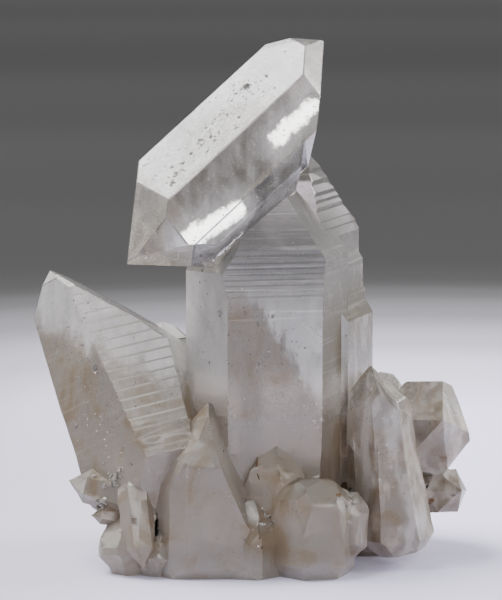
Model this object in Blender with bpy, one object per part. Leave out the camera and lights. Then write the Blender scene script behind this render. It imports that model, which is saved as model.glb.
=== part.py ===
"""Quartz crystal cluster: a doubly terminated crystal lying across the tip of an upright one, with a stepped
parallel growth behind its right side, a leaning crystal on the left, stubby crystals on the right, and a base of
intergrown crystals cut flat below. All of it grew together, so it is one solid.

Each crystal is written as a crystallographer measures it: its axis, six prism faces 60 degrees apart, and
rhombohedral faces that lean 38.2 degrees in from the prism faces. X runs to the right, Y to the back and Z up.
Lengths below are in millimetres and angles in degrees.
"""

import math
import random

import bmesh
import bpy
from mathutils import Matrix, Vector

OBJECT_NAME = "quartz_cluster"
MM = 0.001
FACES = 6

# The angle between a prism face and the rhombohedral face above it, and how far that face climbs for each
# millimetre that it runs in towards the axis
RHOMB_LEAN = 38.2
RHOMB_CLIMB = 1.0 / math.tan(math.radians(RHOMB_LEAN))
# The middle of the foot that the cluster rests on, in the lengths below. It is the part's own origin.
ORIGIN = Vector((-0.88, 4.88, 1.5))
# How much more the tip of a worn crystal is worn down than its edges
TIP_WORN = 2.5
# Half of the block that each crystal is cut from
BLOCK = 90.0
# Crystals run this far below the cut that the cluster rests on, each a little further than the last
BELOW_CUT = 1.0
BELOW_STEP = 0.05
# The block that cuts the cluster off flat
REST_BLOCK = (120.0, 120.0, 40.0)

QUARTZ_COLOUR = (0.72, 0.69, 0.65, 1.0)
QUARTZ_ROUGHNESS = 0.15
QUARTZ_IOR = 1.544


class Crystal:
    """One crystal: centre is a point on its axis, heading turns from +X to +Y, climb rises from level.

    turn is where prism face 0 looks, seen down the axis, from the front towards the right. sides are the six
    prism faces' distances from the axis. tip and foot are the heights above and below the centre at which the
    six rhombohedral faces would meet the axis. more holds other faces as (turn, lean, distance from centre).
    worn is how far the edges and the tip are worn down. stepped is a face that climbs in steps, as (face,
    steps): each of steps is the face's distance from the axis and the height where the tip face cuts it off.
    """

    def __init__(self, name, centre, heading, climb, turn, sides, tip, foot=None, more=(), worn=0.0, stepped=None):
        self.name = name
        self.centre = Vector(centre)
        self.heading = math.radians(heading)
        self.climb = math.radians(climb)
        self.turn = turn
        self.sides = [sides] * FACES if isinstance(sides, float) else list(sides)
        self.tip = [tip] * FACES if isinstance(tip, float) else list(tip)
        self.foot = [foot] * FACES if isinstance(foot, float) else foot
        self.more = more
        self.worn = worn
        self.stepped = stepped

    def frame(self):
        """The crystal's axis, its front and its side, each a unit vector."""
        level = math.cos(self.climb)
        axis = Vector((level * math.cos(self.heading), level * math.sin(self.heading), math.sin(self.climb)))
        front = Vector((0.0, -1.0, 0.0))
        front = (front - front.dot(axis) * axis).normalized()
        return axis, front, axis.cross(front)

    def normal(self, turn, lean):
        """The outward normal of a face at this turn from the front, leaning this much towards the tip."""
        axis, front, side = self.frame()
        around = math.radians(turn)
        rise = math.radians(lean)
        level = math.cos(around) * front + math.sin(around) * side
        return math.cos(rise) * level + math.sin(rise) * axis

    def planes(self):
        """Every face as (outward normal, distance from the centre)."""
        found = []
        down = math.sin(math.radians(RHOMB_LEAN))
        for k in range(FACES):
            turn = self.turn + 60.0 * k
            if self.stepped is None or self.stepped[0] != k:
                found.append((self.normal(turn, 0.0), self.sides[k]))
                found.append((self.normal(turn, RHOMB_LEAN), self.tip[k] * down))
            if self.foot is not None:
                found.append((self.normal(turn, -RHOMB_LEAN), self.foot[k] * down))
        for turn, lean, distance in self.more:
            found.append((self.normal(self.turn + turn, lean), distance))
        if self.worn:
            found.extend(self.worn_planes())
        return found

    def worn_planes(self):
        """A face across each upright edge, across the edge below each tip face, and across the tip itself."""
        half = math.radians(0.5 * RHOMB_LEAN)
        for k in range(FACES):
            side = self.sides[k]
            turn = self.turn + 60.0 * k
            corner = 0.5 * (side + self.sides[(k + 1) % FACES]) / math.cos(math.radians(30.0))
            yield self.normal(turn + 30.0, 0.0), corner - self.worn
            edge = self.tip[k] - RHOMB_CLIMB * side
            yield self.normal(turn, 0.5 * RHOMB_LEAN), side * math.cos(half) + edge * math.sin(half) - self.worn
        yield self.normal(0.0, 90.0), max(self.tip) - TIP_WORN * self.worn

    def profile(self):
        """The stepped face seen from its side, closed behind it: (distance from the axis, height) of each corner."""
        steps = self.stepped[1]
        corners = [(-BLOCK, -BLOCK), (steps[0][0], -BLOCK)]
        for k, (distance, height) in enumerate(steps):
            corners.append((distance, height))
            after = steps[k + 1][0] if k + 1 < len(steps) else distance - BLOCK
            corners.append((after, height + RHOMB_CLIMB * (distance - after)))
        corners.append((-BLOCK, corners[-1][1]))
        return corners


def even_steps(first, last, count):
    """Steps at even spaces from the first (distance, height) to the last."""
    for k in range(count):
        part = k / (count - 1)
        yield tuple(a + (b - a) * part for a, b in zip(first, last))


# The upright crystal. Its front face looks 12 degrees to the right, and turns to the tip face over low steps,
# first steep and then flatter.
MAIN_TURN = 12.0
MAIN_AXIS = (1.0, 3.0, 0.0)
MAIN_SIDES = (9.5, 9.5, 10.3, 9.5, 9.2, 11.3)
MAIN_TIP = (54.5, 55.5, 58.0, 57.0, 57.0, 56.0)
MAIN_STEPS = (
    *even_steps((9.5, 38.5), (8.2, 43.6), 8),
    *even_steps((7.8, 44.6), (3.2, 51.1), 9),
)


# The parallel growth behind the upright crystal. Its right face climbs in coarse steps.
SHOULDER_AXIS = (4.5, 12.5, 0.0)
SHOULDER_SIDES = (10.2, 9.9, 10.4, 8.0, 8.0, 9.0)
SHOULDER_TIP = (58.5, 58.5, 60.0, 59.0, 59.0, 59.0)
SHOULDER_STEPS = (
    (9.9, 34.0),
    (8.65, 36.9),
    (8.13, 41.3),
    (7.43, 45.5),
    (6.75, 46.6),
    (6.1, 47.6),
    (5.2, 49.4),
    (4.85, 50.3),
    (4.5, 51.3),
    (3.8, 52.9),
    (3.1, 54.4),
)


def upright_crystals():
    """The upright crystal with its stepped front, and the parallel growth with its stepped right face."""
    yield Crystal("main", MAIN_AXIS, 0.0, 90.0, MAIN_TURN, MAIN_SIDES, MAIN_TIP, stepped=(0, MAIN_STEPS))
    yield Crystal(
        "shoulder", SHOULDER_AXIS, 0.0, 90.0, MAIN_TURN, SHOULDER_SIDES, SHOULDER_TIP, stepped=(1, SHOULDER_STEPS)
    )


# The doubly terminated crystal across the top. It points up to the right and 31 degrees back.
CROWN_CENTRE = (-3.0, 0.0, 56.7)
CROWN_HEADING = 30.5
CROWN_CLIMB = 37.4
CROWN_TURN = 12.0
CROWN_SIDE = 7.96
CROWN_TIP = (21.8, 16.0, 19.0, 22.0, 23.4, 26.0)
CROWN_FOOT = (26.3, 23.1, 21.2, 20.5, 21.6, 24.6)
# Its lower front face is stepped in near the upper end
CROWN_STEP_SIDE = 6.07
CROWN_STEP_TIP = 13.6
# The short growth lies this much inside the long one elsewhere
CROWN_GAP = 0.03


def crown_crystals():
    """The crystal across the top in two parallel growths: a long slim one, and a short one that is full below."""
    slim = [CROWN_SIDE] * FACES
    slim[1] = CROWN_STEP_SIDE
    place = (CROWN_CENTRE, CROWN_HEADING, CROWN_CLIMB, CROWN_TURN)
    yield Crystal("crown_long", *place, slim, CROWN_TIP, CROWN_FOOT)
    full = [CROWN_SIDE - CROWN_GAP] * FACES
    tip = [t - CROWN_GAP for t in CROWN_TIP]
    tip[1] = CROWN_STEP_TIP
    yield Crystal("crown_full", *place, full, tip, [f - CROWN_GAP for f in CROWN_FOOT])


# The leaning crystal on the left. Its right front face widens downwards in low steps.
LEFT_CENTRE = (-17.1, 1.5, 22.9)
LEFT_HEADING = 133.0
LEFT_CLIMB = 65.0
LEFT_TURN = 20.0
LEFT_SIDES = (9.3, 8.3, 8.3, 9.3, 9.0, 9.1)
LEFT_TIP = (30.0, 16.6, 26.0, 26.0, 26.2, 30.0)
LEFT_FOOT = 24.0
LEFT_STEPS = tuple(even_steps((11.6, -10.0), (7.2, 16.5), 19))
# The flatter face that tops its large tip face, as (turn, lean, distance from centre)
LEFT_TOP = (60.0, 43.3, 10.6)


def left_crystal():
    """The leaning crystal, ended by one large tip face that dips to the right."""
    place = (LEFT_CENTRE, LEFT_HEADING, LEFT_CLIMB, LEFT_TURN)
    return Crystal("left", *place, LEFT_SIDES, LEFT_TIP, LEFT_FOOT, more=(LEFT_TOP,), stepped=(0, LEFT_STEPS))


def right_crystals():
    """The slim crystal at the front right, the flared one below it, and the two stubby ones at the far right."""
    yield Crystal(
        "right_slim", (17.2, -3.0, 12.0), 180.0, 87.0, 10.0,
        (3.95, 3.3, 3.8, 4.0, 4.0, 3.95),
        tip=(19.5, 15.0, 16.0, 18.0, 19.0, 17.5), foot=9.0,
    )
    yield Crystal(
        "right_flared", (18.3, -3.6, 8.8), 180.0, 78.0, 5.0,
        (4.6, 4.2, 4.5, 4.6, 5.2, 5.2), tip=(20.0, 20.5, 20.0, 19.0, 19.0, 19.5), foot=9.5,
        more=((0.0, -90.0, 5.9), (0.0, 5.0, 4.5), (240.0, 12.0, 4.5), (300.0, 11.0, 4.5)),
    )
    yield Crystal(
        "far_right", (23.5, 6.0, 18.6), -80.0, 18.0, 18.0,
        (6.4, 5.5, 4.6, 6.1, 6.7, 6.0), tip=(8.3, 8.3, 8.3, 12.0, 8.3, 8.3), foot=14.0,
    )
    yield Crystal("far_right_low", (25.5, 5.5, 10.0), -60.0, 10.0, 10.0, 3.2, tip=4.8, foot=10.0)
    yield Crystal("right_root", (15.6, 2.5, 14.0), 98.0, 12.0, 12.0, 3.4, tip=15.0, foot=9.0)


def base_crystals():
    """The stubby crystals of the base, front first, and the low mass that they grow from."""
    yield Crystal(
        "base_wide", (-6.9, -9.0, 0.0), 80.0, 86.0, 3.0,
        (5.6, 7.6, 7.8, 5.6, 7.6, 7.2), tip=(25.4, 27.0, 27.0, 27.0, 25.2, 24.8),
        foot=(4.6, 8.0, 8.0, 6.0, 8.0, 7.4), more=((72.0, 23.0, 9.1),), worn=0.7,
    )
    yield Crystal(
        "base_step", (-1.4, -10.6, 0.0), 90.0, 84.0, -14.0,
        (4.0, 3.8, 4.2, 4.2, 4.2, 3.9), tip=(12.4, 13.0, 12.2, 12.4, 13.0, 12.4), foot=3.4, worn=0.5,
    )
    yield Crystal("base_tan", (1.2, -6.6, 0.0), 60.0, 85.0, -20.0, 4.4, tip=19.8, foot=4.0, worn=0.3)
    yield Crystal(
        "base_round", (6.9, -10.4, 0.0), 80.0, 82.0, 15.0, 5.3, tip=18.4, foot=4.0,
        more=(
            (0.0, 90.0, 14.6), (30.0, 62.0, 14.0), (-30.0, 62.0, 14.0), (90.0, 62.0, 13.8), (-90.0, 62.0, 13.8),
            (0.0, 16.0, 8.1), (60.0, 16.0, 8.7), (-60.0, 16.0, 8.4), (30.0, 8.0, 6.9), (-30.0, 8.0, 6.9),
        ),
    )
    yield Crystal("base_lump", (-17.4, -9.3, 0.0), 100.0, 80.0, 15.0, 4.2, tip=11.6, foot=1.4, worn=0.4)
    yield Crystal("base_lump_right", (-14.2, -10.0, 0.0), 60.0, 80.0, 35.0, 3.8, tip=9.8, foot=1.4, worn=0.4)
    yield Crystal("base_pale", (-16.4, -10.6, 9.0), 110.0, 70.0, 10.0, 2.3, tip=7.4, foot=7.0)
    yield Crystal("base_lobe", (12.3, -8.5, 7.6), 60.0, 80.0, 0.0, 2.3, tip=5.6, foot=5.2, worn=0.25)
    yield Crystal("druse_left", (-21.5, -6.5, 12.3), 170.0, 15.0, 10.0, 2.3, tip=5.0, foot=8.0)
    yield Crystal("druse_low", (-20.6, -8.0, 9.0), 190.0, 5.0, 20.0, 1.2, tip=2.6, foot=8.0)
    yield Crystal("base_left", (-14.2, -5.4, 0.0), 120.0, 84.0, 20.0, 4.8, tip=21.0)
    yield Crystal("base_mass", (-3.0, 3.0, 0.0), 0.0, 90.0, 5.0, 13.5, tip=26.0, more=((0.0, 90.0, 11.0),))


# The crystals that close the back and the sides of the base, leaning outwards from the middle of the cluster
BACK_SEED = 11
BACK_COUNT = 12
BACK_FROM = 8.0
BACK_TO = 176.0
BACK_CENTRE = (0.5, 4.0)
BACK_RING = (14.5, 12.5)
BACK_SIDE = (3.0, 4.8)
BACK_TIP = (12.0, 20.0)
BACK_CLIMB = (56.0, 76.0)


def back_crystals():
    """Two taller crystals at the back, and a row of short ones, each turned and sized by chance."""
    yield Crystal(
        "back_left", (-9.0, 11.0, 0.0), 125.0, 72.0, 24.0,
        (5.6, 6.0, 5.4, 5.8, 6.0, 5.6), tip=(37.0, 36.0, 31.0, 34.0, 38.0, 35.0),
    )
    yield Crystal(
        "back_right", (13.5, 11.0, 0.0), 50.0, 70.0, 40.0,
        (4.6, 4.4, 4.8, 4.2, 4.6, 4.4), tip=(28.0, 25.0, 24.0, 27.0, 29.0, 28.0),
    )
    chance = random.Random(BACK_SEED)
    for k in range(BACK_COUNT):
        around = BACK_FROM + (BACK_TO - BACK_FROM) * k / (BACK_COUNT - 1)
        x = BACK_CENTRE[0] + BACK_RING[0] * math.cos(math.radians(around))
        y = BACK_CENTRE[1] + BACK_RING[1] * math.sin(math.radians(around))
        side = chance.uniform(*BACK_SIDE)
        sides = [side * chance.uniform(0.85, 1.15) for _ in range(FACES)]
        height = chance.uniform(*BACK_TIP)
        tip = [height * chance.uniform(0.92, 1.12) for _ in range(FACES)]
        climb = chance.uniform(*BACK_CLIMB)
        turn = chance.uniform(0.0, 60.0)
        yield Crystal(f"back_{k}", (x, y, 0.0), around, climb, turn, sides, tip)


# Etch pits, each the mark of a ball: x, y, z and radius
PITS = (
    (-1.93, -2.19, 66.59, 0.54),
    (-7.36, -5.66, 61.36, 0.32),
    (-9.32, -8.64, 58.11, 0.35),
    (1.69, -7.34, 36.16, 0.98),
    (-5.57, -7.38, 36.49, 0.72),
    (-22.53, -6.16, 28.74, 0.72),
)


def all_crystals():
    """Every crystal of the cluster."""
    yield from upright_crystals()
    yield from crown_crystals()
    yield left_crystal()
    yield from right_crystals()
    yield from base_crystals()
    yield from back_crystals()


def clear_scene():
    """Empties the scene, so that the script gives the same model from any start."""
    for thing in list(bpy.data.objects):
        bpy.data.objects.remove(thing, do_unlink=True)


def new_collection(name):
    """A collection in the scene."""
    collection = bpy.data.collections.new(name)
    bpy.context.scene.collection.children.link(collection)
    return collection


def cut_by(bm, point, normal):
    """Cuts away all that lies beyond a plane, and closes the cut."""
    everything = bm.verts[:] + bm.edges[:] + bm.faces[:]
    cut = bmesh.ops.bisect_plane(
        bm, geom=everything, dist=1e-7, plane_co=point, plane_no=normal, clear_outer=True, clear_inner=False
    )
    rim = [e for e in cut["geom_cut"] if isinstance(e, bmesh.types.BMEdge) and e.is_boundary]
    if rim:
        bmesh.ops.contextual_create(bm, geom=rim)


def crystal_mesh(crystal, below):
    """The crystal as a mesh in metres: a block cut by every face in turn, and ended just below the cut."""
    centre = crystal.centre - ORIGIN
    bm = bmesh.new()
    bmesh.ops.create_cube(bm, size=2.0 * BLOCK * MM, matrix=Matrix.Translation(centre * MM))
    for normal, distance in crystal.planes():
        cut_by(bm, (centre + distance * normal) * MM, normal)
    cut_by(bm, Vector((0.0, 0.0, -below * MM)), Vector((0.0, 0.0, -1.0)))
    bmesh.ops.recalc_face_normals(bm, faces=bm.faces[:])
    mesh = bpy.data.meshes.new(crystal.name)
    bm.to_mesh(mesh)
    bm.free()
    return mesh


def step_block(crystal):
    """A long bar with the stepped face's profile, as a mesh in metres. The crystal is what lies inside it."""
    centre = crystal.centre - ORIGIN
    axis = crystal.normal(0.0, 90.0)
    out = crystal.normal(crystal.turn + 60.0 * crystal.stepped[0], 0.0)
    across = axis.cross(out)
    bm = bmesh.new()
    ends = []
    for side in (-BLOCK, BLOCK):
        ring = [centre + side * across + distance * out + height * axis for distance, height in crystal.profile()]
        ends.append(bm.faces.new([bm.verts.new(corner * MM) for corner in ring]))
    bmesh.ops.bridge_loops(bm, edges=[edge for end in ends for edge in end.edges])
    bmesh.ops.recalc_face_normals(bm, faces=bm.faces[:])
    mesh = bpy.data.meshes.new(crystal.name + "_steps")
    bm.to_mesh(mesh)
    bm.free()
    return mesh


def move_to(thing, collection):
    """Puts an object in this collection alone."""
    for old in list(thing.users_collection):
        old.objects.unlink(thing)
    collection.objects.link(thing)


def add_boolean(body, other, operation):
    """Joins another object to the body, or cuts it from the body."""
    other.hide_render = True
    other.display_type = "WIRE"
    step = body.modifiers.new(other.name, "BOOLEAN")
    step.operation = operation
    step.solver = "EXACT"
    step.object = other


def union_of(crystals, collection, cutters):
    """One object of the first crystal's mesh, with the others joined to it."""
    body = None
    for k, crystal in enumerate(crystals):
        thing = bpy.data.objects.new(crystal.name, crystal_mesh(crystal, BELOW_CUT + k * BELOW_STEP))
        if crystal.stepped:
            bar = bpy.data.objects.new(crystal.name + "_steps", step_block(crystal))
            cutters.objects.link(bar)
            add_boolean(thing, bar, "INTERSECT")
        if body is None:
            body = thing
            body.name = OBJECT_NAME
            collection.objects.link(body)
        else:
            cutters.objects.link(thing)
            add_boolean(body, thing, "UNION")
    return body


def etch_pits(body, cutters):
    """Sinks the pits into the faces."""
    for k, (x, y, z, radius) in enumerate(PITS):
        place = (Vector((x, y, z)) - ORIGIN) * MM
        bpy.ops.mesh.primitive_ico_sphere_add(subdivisions=2, radius=radius * MM, location=place)
        ball = bpy.context.active_object
        ball.name = f"pit_{k}"
        move_to(ball, cutters)
        add_boolean(body, ball, "DIFFERENCE")


def rest_flat(body, cutters):
    """Cuts the cluster off flat at the height that it rests on."""
    bpy.ops.mesh.primitive_cube_add(size=1.0, location=(0.0, 0.0, -0.5 * REST_BLOCK[2] * MM))
    block = bpy.context.active_object
    block.name = "rest_block"
    move_to(block, cutters)
    block.scale = Vector(REST_BLOCK) * MM
    add_boolean(body, block, "DIFFERENCE")


def quartz_material():
    """Clear to milky quartz, faintly beige."""
    material = bpy.data.materials.new("quartz")
    material.use_nodes = True
    shader = material.node_tree.nodes["Principled BSDF"]
    shader.inputs["Base Color"].default_value = QUARTZ_COLOUR
    shader.inputs["Roughness"].default_value = QUARTZ_ROUGHNESS
    shader.inputs["Metallic"].default_value = 0.0
    shader.inputs["IOR"].default_value = QUARTZ_IOR
    return material


def main():
    """Builds the cluster."""
    clear_scene()
    collection = new_collection(OBJECT_NAME)
    cutters = new_collection("cutters")
    body = union_of(all_crystals(), collection, cutters)
    etch_pits(body, cutters)
    rest_flat(body, cutters)
    body.data.materials.append(quartz_material())


main()
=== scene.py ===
"""Quartz crystal cluster: the stone's finish, its specks, stains and fine druse, and the stage it stands on."""

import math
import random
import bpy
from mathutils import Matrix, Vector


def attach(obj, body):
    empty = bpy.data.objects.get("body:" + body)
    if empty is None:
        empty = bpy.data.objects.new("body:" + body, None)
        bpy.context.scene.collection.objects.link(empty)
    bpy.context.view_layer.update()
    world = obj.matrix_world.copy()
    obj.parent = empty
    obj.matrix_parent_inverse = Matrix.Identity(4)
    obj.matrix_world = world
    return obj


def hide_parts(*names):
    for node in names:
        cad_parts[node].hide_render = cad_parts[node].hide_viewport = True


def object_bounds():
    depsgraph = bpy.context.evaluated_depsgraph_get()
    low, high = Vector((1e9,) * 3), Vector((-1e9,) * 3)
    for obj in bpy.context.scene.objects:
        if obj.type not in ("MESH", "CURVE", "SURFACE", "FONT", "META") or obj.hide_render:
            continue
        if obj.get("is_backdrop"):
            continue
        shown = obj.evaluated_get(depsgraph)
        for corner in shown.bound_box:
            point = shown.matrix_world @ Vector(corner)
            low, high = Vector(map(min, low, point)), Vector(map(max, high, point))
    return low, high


bl_info = {
    "name": "Quartz Crystal Cluster",
    "version": (1, 0, 0),
    "blender": (4, 5, 0),
    "location": "3D View > Sidebar > Quartz",
    "description": "Dresses a quartz crystal cluster in clear, frosted and milky stone, with specks and druse",
    "category": "Object",
}

from types import SimpleNamespace

import bmesh
import bpy
from bpy.props import FloatProperty, FloatVectorProperty, PointerProperty
from mathutils import Matrix, Vector, noise
from mathutils.bvhtree import BVHTree

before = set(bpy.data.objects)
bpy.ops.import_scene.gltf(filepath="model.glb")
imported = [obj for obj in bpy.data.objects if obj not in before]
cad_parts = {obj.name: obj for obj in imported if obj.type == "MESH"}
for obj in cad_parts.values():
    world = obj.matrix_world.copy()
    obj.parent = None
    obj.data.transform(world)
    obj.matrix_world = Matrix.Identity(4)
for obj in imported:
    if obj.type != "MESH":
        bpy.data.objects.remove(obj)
CAD_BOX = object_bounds()

MM = 0.001
NODE = "quartz_cluster"
BODY = "root"
STONE = "stone"
QUARTZ_IOR = 1.544

# The camera looks at this point from in front and a little above
CAMERA_TARGET = Vector((-0.41, -4.88, 35.88)) * MM
CAMERA_DISTANCE = 453.7 * MM
CAMERA_CLIMB = 7.0
CAMERA_LENS = 200.0
CAMERA_AWAY = Vector((0.0, -math.cos(math.radians(CAMERA_CLIMB)), math.sin(math.radians(CAMERA_CLIMB))))
CAMERA_PLACE = CAMERA_TARGET + CAMERA_DISTANCE * CAMERA_AWAY


def along_axis(heading, climb):
    """A unit vector that is turned by heading from +X to +Y and rises by climb from level, in degrees."""
    level = math.cos(math.radians(climb))
    turn = math.radians(heading)
    return Vector((level * math.cos(turn), level * math.sin(turn), math.sin(math.radians(climb))))


# The kinds of face, which differ in grain and clearness
KIND_BASE = 0.0
KIND_MAIN = 1.0
KIND_CROWN = 2.0
KIND_LEFT = 3.0
KIND_RIGHT = 4.0
KIND_MAIN_SIDE = 5.0
KIND_LEDGE = 6.0
KIND_MAIN_LEFT = 7.0
KINDS_MASKED = (KIND_MAIN, KIND_CROWN, KIND_LEFT, KIND_RIGHT, KIND_MAIN_SIDE, KIND_LEDGE, KIND_MAIN_LEFT)
KIND_MARGIN = 0.5
# The crystals whose grain doesn't run straight up: kind, a point on the axis in mm, the axis, and how far the
# crystal reaches out from the axis, and down and up along it
TILTED = (
    (KIND_CROWN, Vector((-2.12, -4.88, 55.2)), along_axis(30.5, 37.4), 9.6, -26.0, 26.0),
    (KIND_LEFT, Vector((-16.22, -3.38, 21.4)), along_axis(133.0, 65.0), 13.5, -12.0, 26.0),
    (KIND_RIGHT, Vector((24.38, 1.12, 17.1)), along_axis(-80.0, 18.0), 8.5, -15.0, 9.0),
)
# How much a face's normal runs along the axis on the crown's sides, at most, and on its tips, from and to
CROWN_SIDE = 0.1
CROWN_TIP = (0.5, 0.8)
# A face of the leaning crystal that is narrower than this, in mm, is a growth step's ledge
LEDGE_WIDTH = 0.45
# Above this height what isn't tilted belongs to the upright crystal, and below it to the base, in mm
BASE_TOP = 20.0
# The upright crystal's plainer side: behind this depth in mm, or where the normal turns this far to the right
SIDE_BEHIND = 0.0
SIDE_TURN = 0.6
# Its frosted left face: where the normal turns this far to the left
LEFT_TURN = -0.5
# The stubby crystals at the right begin here and end at this height, in mm
RIGHT_FROM = 12.5
RIGHT_TOP = 26.5
# The least sideways length of a direction across a face that is still used
LEAST_ACROSS = 0.05

# The lower edges of the clear stone in the upright and the leaning crystal: two points (x, z) in mm on each
CLOUD_SHEET = ((0.1, 37.0), (8.3, 23.0))
LEFT_SHEET = ((-30.0, 33.0), (-12.0, 26.5))

# Painted highlights: bright streaks painted on the crown's lower front face where light is caught inside it,
# two ends in mm, half width
PAINTED_HIGHLIGHTS = (
    (Vector((-8.6, -18.0, 45.6)), Vector((-2.2, -14.5, 49.2)), 1.25),
    (Vector((3.0, -10.9, 58.2)), Vector((8.0, -8.0, 62.6)), 1.1),
)
# How ragged the painted highlights' edges are (factor and offset of the noise), how soft (outwards and
# inwards), the reach of the painted glow round them and its strength
HIGHLIGHT_RAGGED = (2.4, -1.2)
HIGHLIGHT_SOFT = (1.3, 0.9)
PAINTED_GLOW_REACH = 3.6
PAINTED_GLOW_STRENGTH = 0.34
# What the painted highlights' normals are leaned by, so that they catch the light from in front
HIGHLIGHT_LEAN = Vector((-0.28, -0.05, 0.16))
# How ragged the sheets' edges are: factor and offset of the noise, in mm
SHEET_RAGGED = (6.0, -3.0)

# Where the stone's looks change with height, each (from, to) in mm, some with the strength (from, to)
MILKY_BELOW = (27.0, 17.0)
MAIN_CLOUD_TOP = (44.0, 34.0)
SIDE_CLOUD_TOP = (44.0, 30.0, 0.1, 0.75)
SIDE_FADE = (BASE_TOP + 0.2, BASE_TOP + 7.0)
# The smoky brown and the haze on the upright crystal's right side are partly its tone and partly painted shade
# on the side turned from the light
SMOKY_SHADE_TOP = (47.0, 31.0)
BROWN_AND_SHADE_TOP = (47.0, 28.0)
SIDE_HAZE_AND_SHADE = (48.0, 34.0, 0.3, 1.0)
TIP_HAZE = (35.0, 41.0, 0.0, 0.75)
# Above the clouds the upright crystal's bloom is partly frost and partly painted light, the brightness seen
# through the clear stone
FROST_AND_LIGHT_TOP = (41.0, 34.0, 0.05, 1.0)
FROST_AND_LIGHT_FOOT = (20.5, 26.0)
LINED_FROM = (30.0, 38.0, 0.12, 0.8)
SPECKS_FADE = (14.0, 30.0, 0.35, 1.0)
PALE_FOOT = (3.5, 0.5, 0.0, 0.3)
# How far above the slanting sheets the stone is clear, and below them cloudy, in mm
MAIN_SHEET_SOFT = (0.9, -0.9)
LEFT_SHEET_SOFT = (2.0, -2.0)

# The noises that break the looks up, in waves per mm, and how the growth lines follow the grain round and along
CLOUD_NOISE = {"scale": 0.16, "detail": 4.0, "rough": 0.55, "distort": 0.8}
WISP_NOISE = {"scale": 0.5, "detail": 5.0, "rough": 0.62}
WISP_STRETCH = (1.0, 1.0, 0.4)
DUST_NOISE = {"scale": 5.5, "detail": 4.0, "rough": 0.7}
RAGGED_NOISE = {"scale": 0.7, "detail": 4.0, "rough": 0.6}
STRIPE_NOISE = {"scale": 1.0, "detail": 5.0, "rough": 0.75}
STRIPE_STRETCH = (0.04, 1.6, 1.0)
FINE_NOISE = {"scale": 1.0, "detail": 3.0, "rough": 0.6}
FINE_STRETCH = (0.3, 8.0, 1.0)
# How the looks follow the noises, each (noise from, to), some with the strength (from, to)
CLOUD_BREAK = (0.3, 0.62, 0.7, 1.0)
CLOUD_MORE = (0.5, 0.72, 0.0, 0.3)
WISP_MORE = (0.55, 0.75, 0.0, 0.15)
FROST_AND_LIGHT_BREAK = (0.25, 0.6, 0.75, 1.0)
CROWN_BLOOM = (0.35, 0.7, 0.07, 0.26)
RIGHT_BLOOM = (0.4, 0.65, 0.0, 0.3)
FROST_BREAK = (0.3, 0.7, 0.8, 1.0)
CROWN_ROUGH = (0.3, 0.7, 0.1, 0.22)
MILK_ROUGH = (0.0, 0.9, 0.04, 0.3)
RUSTY_PATCHES = (0.38, 0.62)
SPECK_PATCHES = (0.4, 0.5)
LIGHT_LINES = (0.52, 0.66)
DUSTY = (0.45, 0.75)

# How strong milk, bloom, haze and growth lines are on each kind of face
MILK_MOST = 0.88
RIGHT_MILK = 0.75
# On the clear faces the bloom is partly frost and partly painted light
MAIN_FROST_AND_LIGHT = 0.6
LEFT_BLOOM = 0.68
MAIN_LEFT_BLOOM = 0.5
LEDGE_BLOOM = 0.07
LEDGE_HAZE = 0.15
SIDE_RUST = 0.8
SIDE_LINES = 0.35
LEFT_LINES = 0.3
CROWN_LINES = 0.1
# How deep the growth lines are where the stone is plain, how bright they are, and how deep the finest ones are:
# their share of the others, and what they keep on plain stone
STRIPE_PLAIN = 0.04
LINE_BLOOM = 0.4
FINE_SHARE = 0.8
FINE_LEAST = 0.06
# How much dust darkens the stone, and how much less on the crown, and how much the etch marks do
DUST_DARK = 0.28
DUST_LESS = 0.14
SPECK_COLOUR = 0.9
# How much light the etch marks, the haze and the smoky side, which is partly painted shade, hold back
SPECK_STOP = 0.7
HAZE_STOP = 0.5
SMOKY_SHADE_STOP = 0.3
# How much rougher the haze, the etch marks and the ledges are
HAZE_ROUGH = 0.1
MARK_ROUGH = 0.5
LEDGE_ROUGH = 0.4
# What the fine lines, the dust and the etch marks add to the relief, and how metallic the painted highlights
# are, a painted reflection
FINE_RELIEF = 0.3
DUST_RELIEF = 0.12
SPECK_RELIEF = 0.6
HIGHLIGHT_METAL = 0.75
# Layers of small etch marks: cells per mm, share of cells without one, inner and outer edge of a mark
ETCH_LAYERS = ((0.7, 0.8, 0.10, 0.15), (1.5, 0.84, 0.14, 0.22), (3.0, 0.84, 0.2, 0.3))
# The glossy coat, and the strength and depth in mm of the relief of the stone and of the small pieces
COAT = 0.3
COAT_ROUGH = 0.16
RELIEF_STRENGTH = 0.35
RELIEF_DEPTH = 0.12
SMALL_STRENGTH = 0.5
SMALL_DEPTH = 0.03
# The small pieces' noises, and how colour and roughness follow the first one
PATCH_NOISE = {"scale": 2.6, "detail": 4.0, "rough": 0.65}
PATCH_COLOUR = (0.35, 0.65)
PATCH_ROUGH = (0.3, 0.7)
PATCH_ROUGHER = 0.25
SMALL_NOISE = {"scale": 7.0, "detail": 3.0, "rough": 0.6}

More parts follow.
